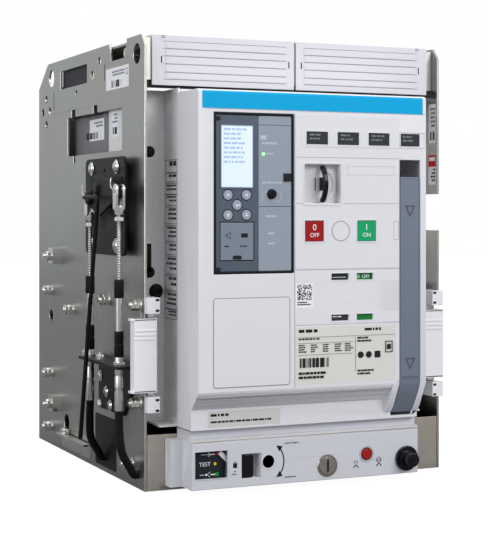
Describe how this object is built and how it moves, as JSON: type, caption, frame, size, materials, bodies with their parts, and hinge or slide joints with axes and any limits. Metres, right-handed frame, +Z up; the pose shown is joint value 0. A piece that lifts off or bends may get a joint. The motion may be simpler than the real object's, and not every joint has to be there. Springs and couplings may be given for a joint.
{
  "type": "draw-out air circuit breaker",
  "caption": "Draw-out air circuit breaker in its steel cassette, with louvred top covers, grey front cover, trip unit, charging lever, racking housing and side interlock.",
  "frame": {"origin": "centre of the cassette's underside, midway between the side plates' outer faces and their front and rear edges", "axes": "+Z up, -Y towards the front of the breaker, +X to the right seen from the front"},
  "size_m": [0.368, 0.4727, 0.44],
  "materials": {
    "zinc_sheet": "zinc-plated sheet steel, satin",
    "base_steel": "galvanised sheet steel, satin",
    "zinc_bright": "bright zinc plating",
    "terminal_metal": "silver-plated copper",
    "insulator": "black glass-filled moulding",
    "cover_grey": "fine-grained pale grey moulding",
    "louvre_grey": "fine-grained pale grey moulding",
    "housing_grey": "fine-grained grey moulding",
    "rail_white": "white moulding",
    "black_plastic": "black moulding",
    "black_steel": "black powder coat",
    "unit_grey": "slate moulding",
    "key_grey": "pale grey keys",
    "lever_grey": "blue-grey moulding",
    "red": "red moulding",
    "green": "green moulding",
    "rubber": "black rubber and plastic sleeve",
    "pole_grey": "dark grey thermoset moulding"
  },
  "bodies": {
    "cassette": {"side_plate_left": "zinc_sheet", "side_plate_right": "zinc_sheet", "base_tray": "base_steel", "rear_wall": "insulator", "top_channel": "zinc_sheet", "terminal_cover_left": "louvre_grey", "terminal_cover_right": "louvre_grey", "upper_terminal_1": "terminal_metal", "upper_terminal_2": "terminal_metal", "upper_terminal_3": "terminal_metal", "lower_terminal_1": "terminal_metal", "lower_terminal_2": "terminal_metal", "lower_terminal_3": "terminal_metal", "rail_guide_left": "rail_white", "rail_guide_right": "rail_white", "racking_housing": "housing_grey", "interlock_plate": "black_steel", "cable_bracket": "black_steel", "interlock_cable_front": "rubber", "interlock_cable_rear": "rubber"},
    "rail_set_left": {"rail_left": "zinc_bright", "rail_handle_left": "rail_white"},
    "rail_set_right": {"rail_right": "zinc_bright", "rail_handle_right": "rail_white"},
    "carriage": {"racking_carriage": "black_steel"},
    "screw": {"racking_screw": "zinc_bright"},
    "pointer": {"position_pointer": "rail_white"},
    "slider": {"racking_slider": "black_plastic"},
    "key_lock": {"key_lock_core": "zinc_bright"},
    "release": {"release_button": "red"},
    "stored_handle": {"racking_handle": "black_plastic"},
    "rocker": {"interlock_rocker": "black_steel"},
    "front_rod": {"cable_rod_front": "zinc_bright"},
    "rear_rod": {"cable_rod_rear": "zinc_bright"},
    "push_link": {"push_rod": "black_steel"},
    "breaker": {"breaker_frame": "zinc_sheet", "front_cover": "cover_grey", "pole_housing": "pole_grey", "upper_stab_1": "terminal_metal", "upper_stab_2": "terminal_metal", "upper_stab_3": "terminal_metal", "lower_stab_1": "terminal_metal", "lower_stab_2": "terminal_metal", "lower_stab_3": "terminal_metal", "arc_chute_bank": "insulator", "operating_mechanism": "zinc_bright", "trip_unit": "unit_grey"},
    "contacts": {"contact_shaft": "terminal_metal"},
    "flag": {"contact_flag": "green"},
    "flap": {"trip_unit_flap": "unit_grey"},
    "knob": {"reset_knob": "black_plastic"},
    "left_key": {"key_left": "key_grey"},
    "right_key": {"key_right": "key_grey"},
    "enter_key": {"key_enter": "key_grey"},
    "up_key": {"key_up": "key_grey"},
    "down_key": {"key_down": "key_grey"},
    "on_push": {"on_button": "green"},
    "off_push": {"off_button": "red"},
    "lever": {"charging_lever": "lever_grey"},
    "hasp": {"padlock_hasp": "black_plastic"}
  },
  "joints": [
    {"name": "rail_left_slide", "type": "slide", "parent": "cassette", "child": "rail_set_left", "axis": [0, -1, 0], "range_m": [0, 0.25]},
    {"name": "rail_right_slide", "type": "slide", "parent": "cassette", "child": "rail_set_right", "axis": [0, -1, 0], "range_m": [0, 0.25]},
    {"name": "racking_slide", "type": "slide", "parent": "cassette", "child": "carriage", "axis": [0, -1, 0], "range_m": [0, 0.048]},
    {"name": "racking_screw_turn", "type": "hinge", "parent": "cassette", "child": "screw", "pos_m": [-0.0516, -0.206, 0.0275], "axis": [0, -1, 0], "range_deg": [0, 2160]},
    {"name": "position_pointer_turn", "type": "hinge", "parent": "cassette", "child": "pointer", "pos_m": [-0.089, -0.216, 0.0275], "axis": [0, -1, 0], "range_deg": [0, 85]},
    {"name": "draw_out", "type": "slide", "parent": "carriage", "child": "breaker", "axis": [0, -1, 0], "range_m": [0, 0.25]},
    {"name": "racking_slider_pull", "type": "slide", "parent": "cassette", "child": "slider", "axis": [0, -1, 0], "range_m": [0, 0.012]},
    {"name": "key_lock_turn", "type": "hinge", "parent": "cassette", "child": "key_lock", "pos_m": [0.0122, -0.221, 0.019], "axis": [0, 1, 0], "range_deg": [0, 90]},
    {"name": "release_button_press", "type": "slide", "parent": "cassette", "child": "release", "axis": [0, 1, 0], "range_m": [0, 0.003], "stiffness_N_per_m": 500},
    {"name": "racking_handle_pull", "type": "slide", "parent": "cassette", "child": "stored_handle", "axis": [0, -1, 0], "range_m": [0, 0.18]},
    {"name": "interlock_rocker_turn", "type": "hinge", "parent": "cassette", "child": "rocker", "pos_m": [-0.184, -0.097, 0.2905], "axis": [1, 0, 0], "range_deg": [-12, 12]},
    {"name": "front_rod_slide", "type": "slide", "parent": "cassette", "child": "front_rod", "axis": [0, 0, 1], "range_m": [-0.0135, 0.0135]},
    {"name": "rear_rod_slide", "type": "slide", "parent": "cassette", "child": "rear_rod", "axis": [0, 0, 1], "range_m": [-0.006, 0.006]},
    {"name": "push_rod_slide", "type": "slide", "parent": "cassette", "child": "push_link", "axis": [0, 0, 1], "range_m": [-0.004, 0.004]},
    {"name": "contact_shaft_turn", "type": "hinge", "parent": "breaker", "child": "contacts", "pos_m": [0, 0, 0.19], "axis": [-1, 0, 0], "range_deg": [0, 29]},
    {"name": "contact_flag_slide", "type": "slide", "parent": "breaker", "child": "flag", "axis": [0, 0, 1], "range_m": [0, 0.0105]},
    {"name": "trip_unit_flap_hinge", "type": "hinge", "parent": "breaker", "child": "flap", "pos_m": [-0.092, -0.238, 0.2581], "axis": [-1, 0, 0], "range_deg": [0, 100]},
    {"name": "reset_knob_turn", "type": "hinge", "parent": "breaker", "child": "knob", "pos_m": [-0.056, -0.241, 0.2852], "axis": [0, -1, 0], "range_deg": [-30, 30]},
    {"name": "charging_lever_swing", "type": "hinge", "parent": "breaker", "child": "lever", "pos_m": [0.09525, -0.215, 0.074], "axis": [1, 0, 0], "range_deg": [0, 70], "stiffness_Nm_per_rad": 0.6},
    {"name": "padlock_hasp_pull", "type": "slide", "parent": "breaker", "child": "hasp", "axis": [0, -1, 0], "range_m": [0, 0.012]},
    {"name": "left_key_press", "type": "slide", "parent": "breaker", "child": "left_key", "axis": [0, 1, 0], "range_m": [0, 0.0012], "stiffness_N_per_m": 400},
    {"name": "right_key_press", "type": "slide", "parent": "breaker", "child": "right_key", "axis": [0, 1, 0], "range_m": [0, 0.0012], "stiffness_N_per_m": 400},
    {"name": "enter_key_press", "type": "slide", "parent": "breaker", "child": "enter_key", "axis": [0, 1, 0], "range_m": [0, 0.0012], "stiffness_N_per_m": 400},
    {"name": "up_key_press", "type": "slide", "parent": "breaker", "child": "up_key", "axis": [0, 1, 0], "range_m": [0, 0.0012], "stiffness_N_per_m": 400},
    {"name": "down_key_press", "type": "slide", "parent": "breaker", "child": "down_key", "axis": [0, 1, 0], "range_m": [0, 0.0012], "stiffness_N_per_m": 400},
    {"name": "on_button_press", "type": "slide", "parent": "breaker", "child": "on_push", "axis": [0, 1, 0], "range_m": [0, 0.004], "stiffness_N_per_m": 600},
    {"name": "off_button_press", "type": "slide", "parent": "breaker", "child": "off_push", "axis": [0, 1, 0], "range_m": [0, 0.004], "stiffness_N_per_m": 600}
  ],
  "couplings": [
    {"joint": "racking_screw_turn", "follows": "racking_slide", "rad_per_m": 785.4},
    {"joint": "position_pointer_turn", "follows": "racking_slide", "rad_per_m": 30},
    {"joint": "front_rod_slide", "follows": "interlock_rocker_turn", "m_per_rad": -0.063},
    {"joint": "rear_rod_slide", "follows": "interlock_rocker_turn", "m_per_rad": 0.027},
    {"joint": "push_rod_slide", "follows": "interlock_rocker_turn", "m_per_rad": 0.018},
    {"joint": "contact_flag_slide", "follows": "contact_shaft_turn", "m_per_rad": 0.0195}
  ]
}
